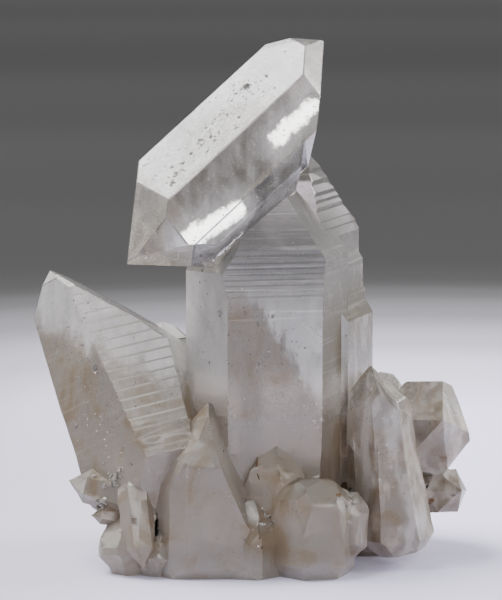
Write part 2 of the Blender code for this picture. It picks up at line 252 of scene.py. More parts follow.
# Marks on the stone as seen from the front, each (across, up, length, width, turn) in mm and degrees
STAINS = (
    (12.5, -25.5, 0.85, 0.6, 70.0),
    (11.9, -26.6, 0.5, 0.3, 20.0),
    (24.7, -27.2, 0.9, 0.3, 50.0),
    (0.75, -22.6, 1.3, 0.13, 84.0),
    (1.05, -24.2, 0.7, 0.1, 110.0),
    (13.0, -28.1, 0.35, 0.25, 10.0),
    (1.5, -33.7, 0.3, 0.16, 80.0),
    (1.2, -32.4, 0.26, 0.14, 60.0),
    (-3.8, -20.6, 0.22, 0.12, 30.0),
    (-16.2, -22.4, 0.3, 0.12, 140.0),
)
PITS = (
    (-0.6, 28.9, 0.62, 0.5, 20.0),
    (-2.6, 27.1, 0.22, 0.16, 0.0),
    (-4.9, 24.6, 0.2, 0.13, 40.0),
    (-6.1, 23.4, 0.3, 0.16, 30.0),
    (-7.1, 21.8, 0.24, 0.18, 70.0),
    (-8.2, 19.9, 0.36, 0.2, 40.0),
    (-9.6, 18.6, 0.16, 0.12, 0.0),
    (-11.5, 15.9, 0.18, 0.12, 25.0),
    (-4.2, -1.8, 0.6, 0.4, 100.0),
    (-6.5, 4.1, 0.4, 0.3, 50.0),
    (3.0, -2.1, 0.8, 0.5, 10.0),
    (-21.1, -9.3, 0.55, 0.45, 80.0),
    (-22.9, -6.1, 0.3, 0.2, 20.0),
    (-23.7, -17.1, 0.4, 0.3, 60.0),
    (-19.9, -22.2, 0.3, 0.22, 15.0),
)
# Rows of painted glints, tiny white flakes that stand in for sparkles of light, as seen from the front, each
# (from, to, spread, how many, size) in mm
GLINT_ROWS = (
    # The first row paints a highlight along the crown's lower edge
    ((-5.3, 5.3), (-1.0, 9.3), 0.07, 46, 2.0),
    ((8.0, -17.5), (12.5, -15.0), 1.5, 60, 0.9),
    ((-21.0, -18.0), (-17.6, -23.5), 1.4, 26, 0.9),
    ((-22.6, -12.0), (-21.5, -19.0), 0.8, 10, 0.8),
    ((-10.0, -22.5), (-4.0, -21.0), 1.6, 12, 0.7),
    ((0.0, -14.0), (8.0, -11.0), 3.0, 24, 0.8),
    ((-2.0, 12.0), (5.0, 17.0), 1.6, 16, 0.8),
    ((-15.5, 6.4), (-9.5, 5.6), 0.3, 16, 0.9),
    ((6.4, 27.0), (8.3, 31.5), 0.4, 12, 0.9),
    ((17.5, -14.0), (21.0, -31.0), 1.4, 26, 0.8),
    ((-3.0, -26.0), (1.2, -33.5), 0.5, 16, 0.8),
)
# Patches of druse, each (across, up, spread across, spread up, how many) in mm
DRUSE_PATCHES = (
    (-18.6, -24.4, 2.4, 1.6, 16),
    (-20.4, -27.6, 1.2, 1.0, 7),
    (13.6, -27.2, 0.8, 2.4, 8),
    (2.0, -29.5, 1.2, 2.8, 7),
)
# Rows of small dark specks as seen from the front, each (from, to, spread, how many, size) in mm
SPECK_ROWS = (
    ((-11.5, 15.5), (0.5, 30.0), 1.5, 120, 2.2),
    ((-6.0, 13.0), (5.0, 23.0), 1.8, 22, 0.8),
    ((-3.0, -2.0), (7.0, -9.0), 4.0, 120, 1.0),
    ((-7.3, 8.0), (-5.4, -14.0), 0.9, 50, 1.3),
    ((-24.5, -3.0), (-19.0, -20.0), 1.7, 70, 1.2),
    ((-18.0, -4.0), (-9.0, -14.0), 3.0, 30, 0.8),
    ((17.5, -12.0), (20.0, -30.0), 2.6, 22, 0.7),
    ((25.0, -8.0), (27.0, -20.0), 2.4, 34, 0.8),
    ((-15.0, -29.0), (8.0, -32.0), 4.5, 12, 0.7),
    ((0.0, 4.0), (6.0, 9.0), 2.6, 40, 0.9),
)

# Seeds of the random draws
MARK_SEED = 8
SPECK_SEED = 12
GLINT_SEED = 3
DRUSE_SEED = 5

# Stains and pits: how thick against their radius when made and when laid on, how far from true size, how much
# they turn to the camera, how uneven their rim is and by how many waves per radius, and how far they spin
MARK_THICK = 0.1
MARK_HEIGHT = 0.5
MARK_GROW = 0.95
MARK_FACING = 0.8
MARK_WOBBLE = 0.35
MARK_WAVES = 1.6
MARK_SPIN = 0.1
# Specks: the least radius and what the largest has more, in mm, length and width against the radius, from and
# to, height, and the share of a row's spread that they use
SPECK_LEAST = 0.045
SPECK_MORE = 0.11
SPECK_LONG = (0.9, 1.7)
SPECK_WIDE = (0.6, 1.0)
SPECK_HEIGHT = 0.02
SPECK_SPREAD = 0.6
# Painted glints: radius in mm and width against it, from and to, thickness of the first one, how much the
# others are flattened, how much they turn to the camera and lean at random, and the share of a row's spread
# that they use
GLINT_SIZES = (0.06, 0.15)
GLINT_WIDE = (0.4, 1.0)
GLINT_DEPTH = 0.3
GLINT_FLAT = 0.5
GLINT_FACING = 0.5
GLINT_LEAN = 0.4
GLINT_SPREAD = 1.0
# Druse: radius of a point, from and to, and reach of the first one's tip, in mm, how blunt it is, how much the
# points are flattened and lean at random, how deep they sit in the stone in mm, and the share of a patch's
# spread that they use
DRUSE_SIZES = (0.16, 0.4)
DRUSE_TIP = 1.3
DRUSE_BLUNT = 0.12
DRUSE_FLAT = 0.85
DRUSE_LEAN = 0.8
DRUSE_SINK = 0.2
DRUSE_SPREAD = 0.5
# A face whose normal rises more than this is the top of an upright piece
TOP_FACE = 0.9

# The small pieces' colours, roughness and clearness
IRON_BROWN = (0.2, 0.11, 0.045, 1.0)
IRON_DARK = (0.08, 0.05, 0.03, 1.0)
IRON_ROUGH = 0.6
PIT_DARK = (0.12, 0.115, 0.105, 1.0)
PIT_LIGHT = (0.34, 0.33, 0.31, 1.0)
PIT_ROUGH = 0.4
SPECK_DARK = (0.09, 0.085, 0.075, 1.0)
SPECK_LIGHT = (0.2, 0.19, 0.17, 1.0)
SPECK_ROUGH = 0.6
# The painted glints' white and grey
PAINTED_GLINT_WHITE = (0.9, 0.9, 0.89, 1.0)
PAINTED_GLINT_GREY = (0.8, 0.8, 0.8, 1.0)
GLINT_ROUGH = 0.1
DRUSE_DARK = (0.42, 0.38, 0.31, 1.0)
DRUSE_LIGHT = (0.6, 0.57, 0.52, 1.0)
DRUSE_ROUGH = 0.1
DRUSE_CLEAR = 0.5

# The base is cut into small faces below this height, this far apart, and worn down by up to this much, in mm
WORN_TOP = 21.0
WORN_CELL = 1.1
CUT_SLACK = 0.01
WORN_DEPTH = 0.55
# The wear fades out over this much at the top and at the foot, in mm
WORN_FADE = 5.0
FOOT_FADE = 0.6
# Two sizes of wear: how many waves per mm, and its share
WORN_BROAD = (0.28, 0.65)
WORN_SMALL = (0.9, 0.35)
WORN_SHIFT = Vector((9.0, 2.0, 5.0))
# Points nearer than this are merged, in mm: in the solid's copy, and in what is cut finely
MERGE = 0.002
MERGE_CUT = 0.02
# Neighbouring faces that differ by less than the first angle are one, and below WORN_TOP faces that differ by
# less than the second are shaded as one, in degrees
FLAT_ANGLE = 0.5
SMOOTH_ANGLE = 14.0
# Edges longer than this, in mm, and sharper than this, in degrees, are chamfered
EDGE_LONG = 1.2
EDGE_SHARP = 20.0
# A face narrower than this, in mm, keeps its edges sharp, and so does one whose shortest edge is less than this
# many times the chamfer
EDGE_FACE = 0.8
EDGE_ROOM = 2.5


# Modelling helpers


def select_none():
    """Leaves nothing selected, so that an operator acts only on what is chosen next."""
    if bpy.context.object and bpy.context.object.mode != "OBJECT":
        bpy.ops.object.mode_set(mode="OBJECT")
    bpy.ops.object.select_all(action="DESELECT")


def make_active(thing):
    """Selects one object alone and makes it the active one."""
    select_none()
    thing.select_set(True)
    bpy.context.view_layer.objects.active = thing


def apply_modifier(thing, name, kind, **settings):
    """Adds a modifier with these settings and applies it."""
    make_active(thing)
    step = thing.modifiers.new(name, kind)
    for key, value in settings.items():
        setattr(step, key, value)
    bpy.ops.object.modifier_apply(modifier=step.name)


def cut_finely(thing, top, cell):
    """Cuts all faces at a height, and those below it into small ones by level and upright planes, in mm."""
    make_active(thing)
    low, high = (Vector(corner) / MM for corner in CAD_BOX)
    planes = [(top * MM, 2, Vector((0.0, 0.0, 1.0)), math.inf)]
    for axis, end in ((0, high.x), (1, high.y), (2, top)):
        normal = Vector((0.0, 0.0, 0.0))
        normal[axis] = 1.0
        level = low[axis] + cell / 2.0
        while level < end:
            planes.append((level * MM, axis, normal, (top + CUT_SLACK) * MM))
            level += cell
    bpy.ops.object.mode_set(mode="EDIT")
    bpy.ops.mesh.select_mode(type="FACE")
    shape = bmesh.from_edit_mesh(thing.data)
    for level, axis, normal, limit in planes:
        for face in shape.faces:
            ends = [v.co[axis] for v in face.verts]
            face.select_set(max(v.co.z for v in face.verts) < limit and min(ends) < level < max(ends))
        bmesh.update_edit_mesh(thing.data)
        if any(face.select for face in shape.faces):
            bpy.ops.mesh.bisect(plane_co=normal * level, plane_no=normal)
            shape = bmesh.from_edit_mesh(thing.data)
    bpy.ops.mesh.select_all(action="SELECT")
    bpy.ops.mesh.remove_doubles(threshold=MERGE_CUT * MM)
    bpy.ops.mesh.dissolve_degenerate(threshold=MERGE_CUT * MM)
    bpy.ops.object.mode_set(mode="OBJECT")


def round_edges(thing, above, width):
    """Chamfers the long sharp edges above a height, in mm."""
    mesh = thing.data
    shape = bmesh.new()
    shape.from_mesh(mesh)
    weight = shape.edges.layers.float.new("bevel_weight_edge")
    for edge in shape.edges:
        high = min(v.co.z for v in edge.verts) > above * MM
        if high and edge.is_manifold and edge.calc_length() > EDGE_LONG * MM:
            if edge.calc_face_angle() > math.radians(EDGE_SHARP):
                near = min(e.calc_length() for v in edge.verts for e in v.link_edges)
                wide = min(f.calc_area() / max(e.calc_length() for e in f.edges) for f in edge.link_faces)
                edge[weight] = 1.0 if near > EDGE_ROOM * width * MM and wide > EDGE_FACE * MM else 0.0
    shape.to_mesh(mesh)
    shape.free()
    apply_modifier(thing, "edges", "BEVEL", width=width * MM, segments=1, limit_method="WEIGHT",
                   use_clamp_overlap=False, harden_normals=False)


def wear_down(thing, top, depth):
    """Wears the stone inwards below a height, by soft noise of two sizes, in mm."""
    mesh = thing.data
    normals = [v.normal.copy() for v in mesh.vertices]
    for vertex, normal in zip(mesh.vertices, normals):
        place = vertex.co / MM
        fade = min(1.0, max(0.0, (top - place.z) / WORN_FADE)) * min(1.0, max(0.0, place.z) / FOOT_FADE)
        broad = noise.noise(place * WORN_BROAD[0]) * 0.5 + 0.5
        small = noise.noise(place * WORN_SMALL[0] + WORN_SHIFT) * 0.5 + 0.5
        vertex.co -= normal * (depth * fade * (WORN_BROAD[1] * broad + WORN_SMALL[1] * small) * MM)


def grain_of(centre, normal):
    """Which crystal a face belongs to, as (kind, point on the axis, axis)."""
    for kind, point, axis, reach, low, high in TILTED:
        away = centre - point
        along = away.dot(axis)
        if low < along < high and (away - along * axis).length < reach:
            lean = abs(normal.dot(axis))
            if lean < CROWN_SIDE or CROWN_TIP[0] < lean < CROWN_TIP[1] or kind != KIND_CROWN:
                return kind, point, axis
    up = Vector((0.0, 0.0, 1.0))
    if centre.x > RIGHT_FROM and centre.z < RIGHT_TOP:
        return KIND_RIGHT, Vector(), up
    if centre.z < BASE_TOP:
        return KIND_BASE, Vector(), up
    if normal.x > SIDE_TURN or centre.y > SIDE_BEHIND:
        return KIND_MAIN_SIDE, Vector(), up
    if normal.x < LEFT_TURN:
        return KIND_MAIN_LEFT, Vector(), up
    return KIND_MAIN, Vector(), up


def write_grain(mesh):
    """Stores, at each face's corners, how far round and along its crystal they lie in mm, and the kind."""
    layer = mesh.attributes.new("grain", "FLOAT_VECTOR", "CORNER")
    for face in mesh.polygons:
        centre = face.center / MM
        kind, point, axis = grain_of(centre, face.normal)
        corners = [mesh.vertices[k].co for k in face.vertices]
        longest = max((a - b).length for a, b in zip(corners, corners[1:] + corners[:1]))
        if kind == KIND_LEFT and face.area / longest < LEDGE_WIDTH * MM and longest > MM:
            kind = KIND_LEDGE
        across = axis.cross(face.normal)
        if across.length < LEAST_ACROSS:
            across = Vector((1.0, 0.0, 0.0))
        across.normalize()
        for loop in face.loop_indices:
            place = mesh.vertices[mesh.loops[loop].vertex_index].co / MM - point
            layer.data[loop].vector = (place.dot(across), place.dot(axis), kind)


def copy_of(model, name):
    """A copy of an object with a mesh of its own."""
    twin = model.copy()
    twin.data = model.data.copy()
    twin.name = name
    bpy.context.scene.collection.objects.link(twin)
    return twin


def join(pieces, name):
    """Joins pieces into one object whose origin is the world's."""
    select_none()
    for piece in pieces:
        piece.select_set(True)
    bpy.context.view_layer.objects.active = pieces[0]
    if len(pieces) > 1:
        bpy.ops.object.join()
    piece = bpy.context.active_object
    bpy.ops.object.transform_apply(location=True, rotation=True, scale=True)
    piece.name = name
    return piece


def finish_piece(piece, material):
    """Gives a piece its material, and lets it ride on the cluster."""
    piece.data.materials.clear()
    piece.data.materials.append(material)
    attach(piece, BODY)


def stone_tree():
    """The visible stone's surface, for finding places on it."""
    mesh = bpy.data.objects[STONE].data
    return BVHTree.FromPolygons([v.co for v in mesh.vertices], [p.vertices[:] for p in mesh.polygons])


def seen_point(surface, across, up):
    """Where the line of sight through a point of the picture plane, in mm, meets the stone, and its normal."""
    climb = math.radians(CAMERA_CLIMB)
    aim = CAMERA_TARGET + Vector((across, up * math.sin(climb), up * math.cos(climb))) * MM
    place, normal, _, _ = surface.ray_cast(CAMERA_PLACE, (aim - CAMERA_PLACE).normalized())
    return place, normal


def row_points(surface, chance, rows, spread_share):
    """Points scattered along rows as seen from the front, each (place, normal, size); misses are left out."""
    for start, end, spread, count, grow in rows:
        for _ in range(count):
            part = chance.random()
            across = start[0] + (end[0] - start[0]) * part + chance.gauss(0.0, spread * spread_share)
            up = start[1] + (end[1] - start[1]) * part + chance.gauss(0.0, spread * spread_share)
            place, normal = seen_point(surface, across, up)
            if place is not None:
                yield place, normal, grow


def random_lean(chance, most):
    """A small random vector, to lean a normal by."""
    return Vector([chance.uniform(-most, most) for _ in range(3)])


def lay_on(piece, place, normal, turn, size, sink=0.0):
    """Lays a piece that was modelled flat on the surface: at a place, facing outwards, turned and sized."""
    spin = normal.to_track_quat("Z", "Y").to_matrix().to_4x4() @ Matrix.Rotation(turn, 4, "Z")
    scale = Matrix.Diagonal((*size, 1.0))
    piece.matrix_world = Matrix.Translation(place - sink * normal) @ spin @ scale


# Material helpers


class Tree:
    """Builds a material's nodes; vector returns the new node, and most others its output socket."""

    def __init__(self, name):
        self.material = bpy.data.materials.new(name)
        self.material.use_nodes = True
        self.nodes = self.material.node_tree.nodes
        self.links = self.material.node_tree.links
        self.shader = self.nodes["Principled BSDF"]
        self.output = self.nodes["Material Output"]

    def feed(self, socket, value):
        """Links a socket to another, or sets its value."""
        if isinstance(value, bpy.types.NodeSocket):
            self.links.new(value, socket)
        else:
            socket.default_value = value

    def add(self, kind, out=0, settings=None, **inputs):
        """A node of this kind, with its inputs fed by name."""
        node = self.nodes.new(kind)
        for key, value in (settings or {}).items():
            setattr(node, key, value)
        for key, value in inputs.items():
            self.feed(node.inputs[key.replace("_", " ")], value)
        return node.outputs[out]

    def math(self, operation, a, b=0.0, c=0.0, clamp=False):
        """A Math node."""
        node = self.nodes.new("ShaderNodeMath")
        node.operation = operation
        node.use_clamp = clamp
        for socket, value in zip(node.inputs, (a, b, c)):
            self.feed(socket, value)
        return node.outputs[0]

    def times(self, a, b):
        """Two values multiplied."""
        return self.math("MULTIPLY", a, b)

    def plus(self, first, *others):
        """Values added up."""
        for other in others:
            first = self.math("ADD", first, other)
        return first

    def vector(self, operation, a, b=None, scale=None):
        """A Vector Math node."""
        node = self.nodes.new("ShaderNodeVectorMath")
        node.operation = operation
        self.feed(node.inputs[0], a)
        if b is not None:
            self.feed(node.inputs[1], b)
        if scale is not None:
            self.feed(node.inputs["Scale"], scale)
        return node

    def ramp(self, value, low, high, start=0.0, end=1.0):
        """A value taken smoothly from start to end while it goes from low to high."""
        node = self.nodes.new("ShaderNodeMapRange")
        node.interpolation_type = "SMOOTHSTEP"
        for socket, number in zip(node.inputs, (value, low, high, start, end)):
            self.feed(socket, number)
        return node.outputs[0]

    def split(self, vector):
        """A vector's three parts."""
        node = self.nodes.new("ShaderNodeSeparateXYZ")
        self.links.new(vector, node.inputs[0])
        return node.outputs[0], node.outputs[1], node.outputs[2]

    def object_place(self):
        """The place on the object, in mm."""
        return self.place(self.add("ShaderNodeTexCoord", out=3), (1.0 / MM,) * 3)

    def slant(self, x, height, line):
        """How far above and to the right of a slanting line a point is, in mm."""
        (x0, z0), (x1, z1) = line
        length = math.hypot(x1 - x0, z0 - z1)
        right, up = (z0 - z1) / length, (x1 - x0) / length
        return self.math("MULTIPLY_ADD", height, up, self.math("MULTIPLY_ADD", x, right, -right * x0 - up * z0))

    def place(self, source, scale):
        """Coordinates scaled by a Mapping node."""
        node = self.nodes.new("ShaderNodeMapping")
        self.links.new(source, node.inputs["Vector"])
        node.inputs["Scale"].default_value = scale
        return node.outputs[0]

    def noise(self, vector, scale, detail=3.0, rough=0.5, distort=0.0):
        """Noise about 0.5."""
        return self.add(
            "ShaderNodeTexNoise", Vector=vector, Scale=scale, Detail=detail, Roughness=rough, Distortion=distort
        )

    def mix(self, amount, a, b):
        """Two colours mixed."""
        node = self.nodes.new("ShaderNodeMix")
        node.data_type = "RGBA"
        node.clamp_factor = True
        for socket, value in zip((node.inputs["Factor"], *node.inputs[6:8]), (amount, a, b)):
            self.feed(socket, value)
        return node.outputs[2]

    def bump(self, relief, strength, depth):
        """A normal raised and sunk by a relief, whose depth is in mm."""
        return self.add("ShaderNodeBump", Height=relief, Strength=strength, Distance=depth * MM)


def near_streak(tree, place, streak):
    """How near a painted highlight a point is: the highlight itself, and the painted glow round it, from 0 to
    1.
    """
    start, end, reach = streak
    along = end - start
    offset = tree.vector("SUBTRACT", place, start).outputs[0]
    share = tree.vector("DOT_PRODUCT", offset, along / along.length_squared).outputs["Value"]
    share = tree.math("MINIMUM", tree.math("MAXIMUM", share, 0.0), 1.0)
    foot = tree.vector("SCALE", along, scale=share).outputs[0]
    away = tree.vector("DISTANCE", offset, foot).outputs["Value"]
    ragged = tree.math("MULTIPLY_ADD", tree.noise(place, **RAGGED_NOISE), *HIGHLIGHT_RAGGED)
    distance = tree.math("ADD", away, ragged)
    core = tree.ramp(distance, reach + HIGHLIGHT_SOFT[0], reach - HIGHLIGHT_SOFT[1])
    return core, tree.ramp(distance, reach + PAINTED_GLOW_REACH, reach)


def etch_marks(tree, place, layers):
    """Small round marks scattered by chance, in layers as ETCH_LAYERS gives them."""
    marks = None
    for scale, chance, near, far in layers:
        cells = tree.nodes.new("ShaderNodeTexVoronoi")
        cells.inputs["Scale"].default_value = scale
        tree.links.new(place, cells.inputs["Vector"])
        chosen = tree.add("ShaderNodeSeparateColor", Color=cells.outputs["Color"])
        mark = tree.ramp(cells.outputs["Distance"], far, near)
        mark = tree.times(mark, tree.math("GREATER_THAN", chosen, chance))
        marks = mark if marks is None else tree.math("MAXIMUM", marks, mark)
    return marks


def stone_fields(tree):
    """What the stone's looks are worked out from: places, masks of the kinds of face, and noises."""
    place = tree.object_place()
    grain = tree.add("ShaderNodeAttribute", out=1, settings={"attribute_name": "grain"})
    x, _, height = tree.split(place)
    _, _, kind = tree.split(grain)
    on = {wanted: tree.math("COMPARE", kind, wanted, KIND_MARGIN) for wanted in KINDS_MASKED}
    side = tree.times(on[KIND_MAIN_SIDE], tree.ramp(height, *SIDE_FADE))
    return SimpleNamespace(
        place=place, grain=grain, x=x, height=height, on=on, side=side,
        smoky_shade=tree.times(side, tree.ramp(height, *SMOKY_SHADE_TOP)),
        cloud=tree.noise(place, **CLOUD_NOISE),
        wisp=tree.noise(tree.place(place, WISP_STRETCH), **WISP_NOISE),
        dust=tree.noise(place, **DUST_NOISE),
    )


def add_clouds(tree, stone):
    """Clouds inside: thick in the base, and bounded by slanting sheets in the tall crystals."""
    on, height, wisp = stone.on, stone.height, stone.wisp
    ragged = tree.math("MULTIPLY_ADD", wisp, *SHEET_RAGGED)
    main_sheet = tree.math("ADD", tree.slant(stone.x, height, CLOUD_SHEET), ragged)
    stone.main_cloud = tree.times(tree.ramp(main_sheet, *MAIN_SHEET_SOFT), tree.ramp(height, *MAIN_CLOUD_TOP))
    left_sheet = tree.math("ADD", tree.slant(stone.x, height, LEFT_SHEET), ragged)
    stone.left_cloud = tree.ramp(left_sheet, *LEFT_SHEET_SOFT)
    cloudy = tree.plus(
        tree.times(on[KIND_MAIN], stone.main_cloud),
        tree.times(stone.side, tree.ramp(height, *SIDE_CLOUD_TOP)),
        tree.times(on[KIND_LEFT], stone.left_cloud),
    )
    cloudy = tree.times(cloudy, tree.ramp(wisp, *CLOUD_BREAK))
    milk = tree.math("MAXIMUM", tree.ramp(height, *MILKY_BELOW), cloudy)
    milk = tree.math("MAXIMUM", milk, tree.times(on[KIND_RIGHT], RIGHT_MILK))
    milk = tree.math("ADD", tree.times(milk, MILK_MOST), tree.ramp(stone.cloud, *CLOUD_MORE))
    stone.milk = tree.math("ADD", milk, tree.ramp(wisp, *WISP_MORE), clamp=True)


def add_frost_and_painted_light(tree, stone):
    """Frost and painted light: a bright bloom on the clear faces above the clouds, partly frost and partly
    painted light seen through the clear stone, and the painted highlights of the crown.
    """
    on, height, wisp = stone.on, stone.height, stone.wisp
    clear_main = tree.times(on[KIND_MAIN], tree.math("SUBTRACT", 1.0, stone.main_cloud))
    clear_main = tree.times(clear_main, tree.ramp(height, *FROST_AND_LIGHT_TOP))
    clear_left = tree.times(on[KIND_LEFT], tree.math("SUBTRACT", 1.0, stone.left_cloud))
    bloom = tree.plus(
        tree.times(clear_main, MAIN_FROST_AND_LIGHT),
        tree.times(clear_left, LEFT_BLOOM),
        tree.times(on[KIND_MAIN_LEFT], MAIN_LEFT_BLOOM),
    )
    bloom = tree.times(bloom, tree.ramp(wisp, *FROST_AND_LIGHT_BREAK))
    bloom = tree.times(bloom, tree.ramp(height, *FROST_AND_LIGHT_FOOT))
    bloom = tree.plus(
        bloom,
        tree.times(on[KIND_CROWN], tree.ramp(wisp, *CROWN_BLOOM)),
        tree.times(on[KIND_RIGHT], tree.ramp(wisp, *RIGHT_BLOOM)),
        tree.times(on[KIND_LEDGE], LEDGE_BLOOM),
    )
    streaks = [near_streak(tree, stone.place, streak) for streak in PAINTED_HIGHLIGHTS]
    core, painted_glow = streaks[0]
    for more_core, more_painted_glow in streaks[1:]:
        core = tree.math("MAXIMUM", core, more_core)
        painted_glow = tree.math("MAXIMUM", painted_glow, more_painted_glow)
    # The crown's painted highlights, with a painted glow round them
    stone.streak = tree.times(core, on[KIND_CROWN])
    painted_glow = tree.times(painted_glow, tree.times(on[KIND_CROWN], PAINTED_GLOW_STRENGTH))
    stone.bloom = tree.math("MAXIMUM", tree.math("ADD", bloom, painted_glow), stone.streak)


def add_haze(tree, stone):
    """A grey haze inside the upright crystal's tip, and behind its right side a brown one that is partly
    painted shade.
    """
    haze = tree.times(stone.on[KIND_MAIN], tree.ramp(stone.height, *TIP_HAZE))
    haze = tree.math("MAXIMUM", haze, tree.times(stone.on[KIND_LEDGE], LEDGE_HAZE))
    side_haze_and_shade = tree.times(stone.side, tree.ramp(stone.height, *SIDE_HAZE_AND_SHADE))
    stone.haze = tree.math("MAXIMUM", haze, side_haze_and_shade)


def add_growth_lines(tree, stone):
    """Fine growth lines across each crystal, light on its clear faces, and the etched grain between them."""
    on = stone.on
    stripe = tree.noise(tree.place(stone.grain, STRIPE_STRETCH), **STRIPE_NOISE)
    fine = tree.noise(tree.place(stone.grain, FINE_STRETCH), **FINE_NOISE)
    lined = tree.plus(
        tree.times(on[KIND_MAIN], tree.ramp(stone.height, *LINED_FROM)),
        STRIPE_PLAIN,
        tree.times(stone.side, SIDE_LINES),
        tree.times(on[KIND_LEFT], LEFT_LINES),
        tree.times(on[KIND_CROWN], CROWN_LINES),
    )
    light_line = tree.times(tree.ramp(stripe, *LIGHT_LINES), tree.math("SUBTRACT", lined, STRIPE_PLAIN))
    stone.bloom = tree.math("ADD", stone.bloom, tree.times(light_line, LINE_BLOOM), clamp=True)
    stone.stripe = tree.times(stripe, lined)
    stone.fine = tree.times(fine, tree.plus(tree.times(lined, FINE_SHARE), FINE_LEAST))
    specks = etch_marks(tree, stone.place, ETCH_LAYERS)
    specks = tree.times(specks, tree.ramp(stone.cloud, *SPECK_PATCHES))
    stone.specks = tree.times(specks, tree.ramp(stone.height, *SPECKS_FADE))


def stone_colour(tree, stone, look):
    """The stone's colour, from the clear one through milk, haze, the right side's brown that is partly painted
    shade, and the bloom that is partly painted light, to the etch marks.
    """
    rusty = tree.ramp(stone.cloud, *RUSTY_PATCHES)
    rusty = tree.math("ADD", rusty, tree.times(stone.side, SIDE_RUST), clamp=True)
    warm = tree.mix(rusty, look.milk_colour, look.warm_colour)
    colour = tree.mix(stone.milk, look.clear_colour, warm)
    # The right side's brown: partly its tone, partly painted shade
    brown_and_shade = tree.times(stone.side, tree.ramp(stone.height, *BROWN_AND_SHADE_TOP))
    colour = tree.mix(stone.haze, colour, tree.mix(brown_and_shade, look.haze_colour, look.brown_tone_and_shade_colour))
    # The bloom: partly frost, partly painted light
    colour = tree.mix(stone.bloom, colour, look.frost_colour)
    colour = tree.mix(tree.ramp(stone.height, *PALE_FOOT), colour, look.frost_colour)
    grainy = tree.math("MULTIPLY_ADD", stone.on[KIND_CROWN], -DUST_LESS, DUST_DARK)
    grainy = tree.times(tree.ramp(stone.dust, *DUSTY), grainy)
    colour = tree.mix(grainy, colour, look.speck_colour)
    return tree.mix(tree.times(stone.specks, SPECK_COLOUR), colour, look.speck_colour)


def stone_clearness(tree, stone, look):
    """How much of the light the stone lets through."""
    clear = tree.math("SUBTRACT", 1.0, tree.times(stone.milk, look.milkiness))
    for mask, share in ((stone.specks, SPECK_STOP), (stone.haze, HAZE_STOP), (stone.smoky_shade, SMOKY_SHADE_STOP)):
        clear = tree.math("SUBTRACT", clear, tree.times(mask, share))
    # The bloom, partly painted light, also makes the faces less clear
    frosted = tree.times(stone.bloom, tree.ramp(stone.dust, *FROST_BREAK))
    return tree.math("SUBTRACT", clear, frosted, clamp=True)


def stone_roughness(tree, stone):
    """How rough the surface is."""
    return tree.plus(
        tree.ramp(stone.milk, *MILK_ROUGH),
        tree.times(stone.haze, HAZE_ROUGH),
        tree.times(stone.on[KIND_CROWN], tree.ramp(stone.dust, *CROWN_ROUGH)),
        tree.times(stone.specks, MARK_ROUGH),
        tree.times(stone.on[KIND_LEDGE], LEDGE_ROUGH),
    )


def quartz_material(look):
    """Clear quartz above, milkier towards the base, with growth lines, etch marks and clouds inside."""
    tree = Tree("quartz")
    stone = stone_fields(tree)
    add_clouds(tree, stone)
    add_frost_and_painted_light(tree, stone)
    add_haze(tree, stone)
    add_growth_lines(tree, stone)
    inputs = tree.shader.inputs
    tree.feed(inputs["Base Color"], stone_colour(tree, stone, look))
    tree.feed(inputs["Transmission Weight"], stone_clearness(tree, stone, look))
    tree.feed(inputs["Roughness"], stone_roughness(tree, stone))
    inputs["IOR"].default_value = QUARTZ_IOR
    bare = tree.plus(stone.on[KIND_CROWN], stone.on[KIND_LEDGE], stone.smoky_shade)
    tree.feed(inputs["Coat Weight"], tree.math("MULTIPLY_ADD", bare, -COAT, COAT))
    inputs["Coat Roughness"].default_value = COAT_ROUGH
    inputs["Coat IOR"].default_value = QUARTZ_IOR

    relief = tree.plus(stone.stripe, tree.times(stone.fine, FINE_RELIEF), tree.times(stone.dust, DUST_RELIEF))
    relief = tree.math("SUBTRACT", relief, tree.times(stone.specks, SPECK_RELIEF))
    bumped = tree.bump(relief, RELIEF_STRENGTH, RELIEF_DEPTH)
    tree.feed(inputs["Coat Normal"], bumped)
    # The painted highlights are partly metallic, a painted reflection, and their normals lean towards the light
    tree.feed(inputs["Metallic"], tree.times(stone.streak, HIGHLIGHT_METAL))
    lean = tree.vector("SCALE", HIGHLIGHT_LEAN, scale=stone.streak).outputs[0]
    leaned = tree.vector("ADD", bumped, lean).outputs[0]
    tree.feed(inputs["Normal"], tree.vector("NORMALIZE", leaned).outputs[0])

    body = tree.add("ShaderNodeVolumeAbsorption", Color=look.body_colour, Density=look.body_density)
    tree.links.new(body, tree.output.inputs["Volume"])
    return tree.material


def plain_stone(name, dark, light, rough, clear=0.0):
    """A small piece's material: two colours broken up by noise, with a fine rough relief."""
    tree = Tree(name)
    place = tree.object_place()
    patch = tree.noise(place, **PATCH_NOISE)
    inputs = tree.shader.inputs
    tree.feed(inputs["Base Color"], tree.mix(tree.ramp(patch, *PATCH_COLOUR), dark, light))
    tree.feed(inputs["Roughness"], tree.ramp(patch, *PATCH_ROUGH, rough, rough + PATCH_ROUGHER))
    inputs["Transmission Weight"].default_value = clear
    inputs["IOR"].default_value = QUARTZ_IOR
    relief = tree.noise(place, **SMALL_NOISE)
    tree.feed(inputs["Normal"], tree.bump(relief, SMALL_STRENGTH, SMALL_DEPTH))
    return tree.material


# Settings


